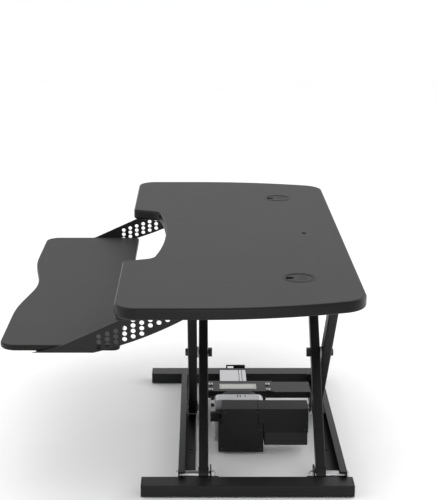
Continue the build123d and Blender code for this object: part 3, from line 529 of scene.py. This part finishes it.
def leg_dressing():
    """Weld beads round the knuckles at both ends of each leg."""
    lower_fixed = Vector(JOINTS["lift"]["pos_m"])
    upper_fixed = Vector(JOINTS["platform_pivot"]["pos_m"])
    lower_roll = Vector(JOINTS["carriage_pivot"]["pos_m"])
    upper_roll = Vector((lower_roll.x, MID_Y, upper_fixed.z))
    legs = {"inner": (lower_fixed, upper_roll, "inner_legs"),
            "outer": (lower_roll, upper_fixed, "outer_legs")}
    half_height, knuckle, bead = 15 * MM, 14 * MM, 1.1 * MM
    for kind, (start, end, body) in legs.items():
        for side in ("front", "rear"):
            low, high = node_box(kind + "_leg_" + side)
            along = Vector((end.x - start.x, 0, end.z - start.z)).normalized()
            across = Vector((-along.z, 0, along.x))

            def beads(shape, low=low, high=high, along=along, across=across, ends=(start, end)):
                for point, inward in zip(ends, (1, -1)):
                    base = Vector((point.x, 0, point.z)) + along * knuckle * inward
                    for y in (low.y, high.y):
                        add_bead(shape, base + across * (half_height - 2 * MM) + Vector((0, y, 0)),
                                 base - across * (half_height - 2 * MM) + Vector((0, y, 0)), bead)
                    for rise in (half_height, -half_height):
                        edge = base + across * rise
                        add_bead(shape, edge + Vector((0, low.y + 2 * MM, 0)),
                                 edge + Vector((0, high.y - 2 * MM, 0)), bead)

            add_piece(f"{kind}_leg_welds_{side}", beads, "black_steel", body, 60)


def add_bead(shape, start, end, radius):
    """Weld bead: a rod whose thickness ripples along its length."""
    start, end = Vector(start), Vector(end)
    length = (end - start).length
    steps = max(6, int(length / (1.0 * MM)))
    profile = [(radius * 0.2, 0)]
    for step in range(steps + 1):
        ripple = 1.0 + 0.16 * math.sin(step * 2.1)
        taper = min(1.0, 0.45 + min(step, steps - step) * 0.3)
        profile.append((radius * ripple * taper, length * (0.01 + 0.98 * step / steps)))
    profile.append((radius * 0.2, length))
    add_lathe(shape, start, end - start, profile, 10)


def rail_dressing():
    """Grip ribs on the rails' end caps."""
    low, high = node_box("base_rails")
    cap_low, cap_high = node_box("rail_end_caps")
    width = 50 * MM

    def ribs(shape):
        for x0 in (low.x, high.x - width):
            for y, outward in ((cap_low.y, -1), (cap_high.y, 1)):
                for step in range(4):
                    x = x0 + (10 + 10 * step) * MM
                    y1 = y + (0.6 * MM if outward > 0 else 0.3 * MM)
                    add_block(shape, (x - 1 * MM, y - 0.3 * MM, low.z + 6 * MM),
                              (x + 1 * MM, y1, high.z - 6 * MM), 0.25 * MM)

    add_piece("end_cap_ribs", ribs, "black_plastic", "base")


def pivot_washers():
    """Flat washers under the heads of the lower pivot bolts, outside the channels."""
    low, high = node_box("base_channels")
    point = Vector(JOINTS["lift"]["pos_m"])

    def make(shape):
        for y, outward in ((low.y, -1), (high.y, 1)):
            profile = [(12.3 * MM, 0), (12.6 * MM, 0.3 * MM), (12.6 * MM, 0.9 * MM), (12.3 * MM, 1.2 * MM)]
            add_lathe(shape, (point.x, y, point.z), (0, outward, 0), profile, 48)

    add_piece("lower_pivot_washers", make, "zinc_steel", "base")


def label_border():
    """Thin dark frame round the blank label."""
    low, high = node_box("blank_label")

    def make(shape):
        top = high.z
        inset, wide, tall = 3 * MM, 0.8 * MM, 0.15 * MM
        x0, x1, y0, y1 = low.x + inset, high.x - inset, low.y + inset, high.y - inset
        for a, b in (((x0, y0), (x1, y0 + wide)), ((x0, y1 - wide), (x1, y1)),
                     ((x0, y0 + wide), (x0 + wide, y1 - wide)), ((x1 - wide, y0 + wide), (x1, y1 - wide))):
            add_block(shape, (*a, top - 0.1 * MM), (*b, top + tall), 0.05 * MM, 1)

    add_piece("label_border", make, "dark_steel", "carriage")


def spindle_thread():
    """Rolled thread over the spindle, as a fine helical ridge."""
    low, high = node_box("spindle")
    centre_y, centre_z = (low.y + high.y) / 2, (low.z + high.z) / 2
    radius = (high.z - low.z) / 2
    pitch, steps = 4.0 * MM, 20
    start, stop = low.x + 2 * MM, low.x + 200 * MM

    def make(shape):
        count = int((stop - start) / pitch * steps)
        previous = None
        for index in range(count + 1):
            turn = 2 * math.pi * index / steps
            x = start + pitch * index / steps
            out = Vector((0, math.cos(turn), math.sin(turn)))
            base = Vector((x, centre_y, centre_z))
            ring = [shape.verts.new(base + out * (radius - 0.4 * MM) + Vector((-1.2 * MM, 0, 0))),
                    shape.verts.new(base + out * (radius + 0.02 * MM) + Vector((-0.4 * MM, 0, 0))),
                    shape.verts.new(base + out * (radius + 0.02 * MM) + Vector((0.4 * MM, 0, 0))),
                    shape.verts.new(base + out * (radius - 0.4 * MM) + Vector((1.2 * MM, 0, 0)))]
            if previous:
                for i in range(4):
                    j = (i + 1) % 4
                    shape.faces.new((previous[i], previous[j], ring[j], ring[i]))
            else:
                shape.faces.new(ring)
            previous = ring
        shape.faces.new(previous[::-1])

    add_piece("spindle_thread", make, "zinc_steel", "spindle_assembly", 30)


# ---------------------------------------------------------------- build
make_camera()
make_studio()
dress_cad()
saddle_screws()
centre_bolts()
hood_side_bolts()
tube_groove_shade_strips()
motor_cover_trim()
control_box_trim()
button_arrows()
grommet_rings()
leg_dressing()
rail_dressing()
pivot_washers()
label_border()
spindle_thread()
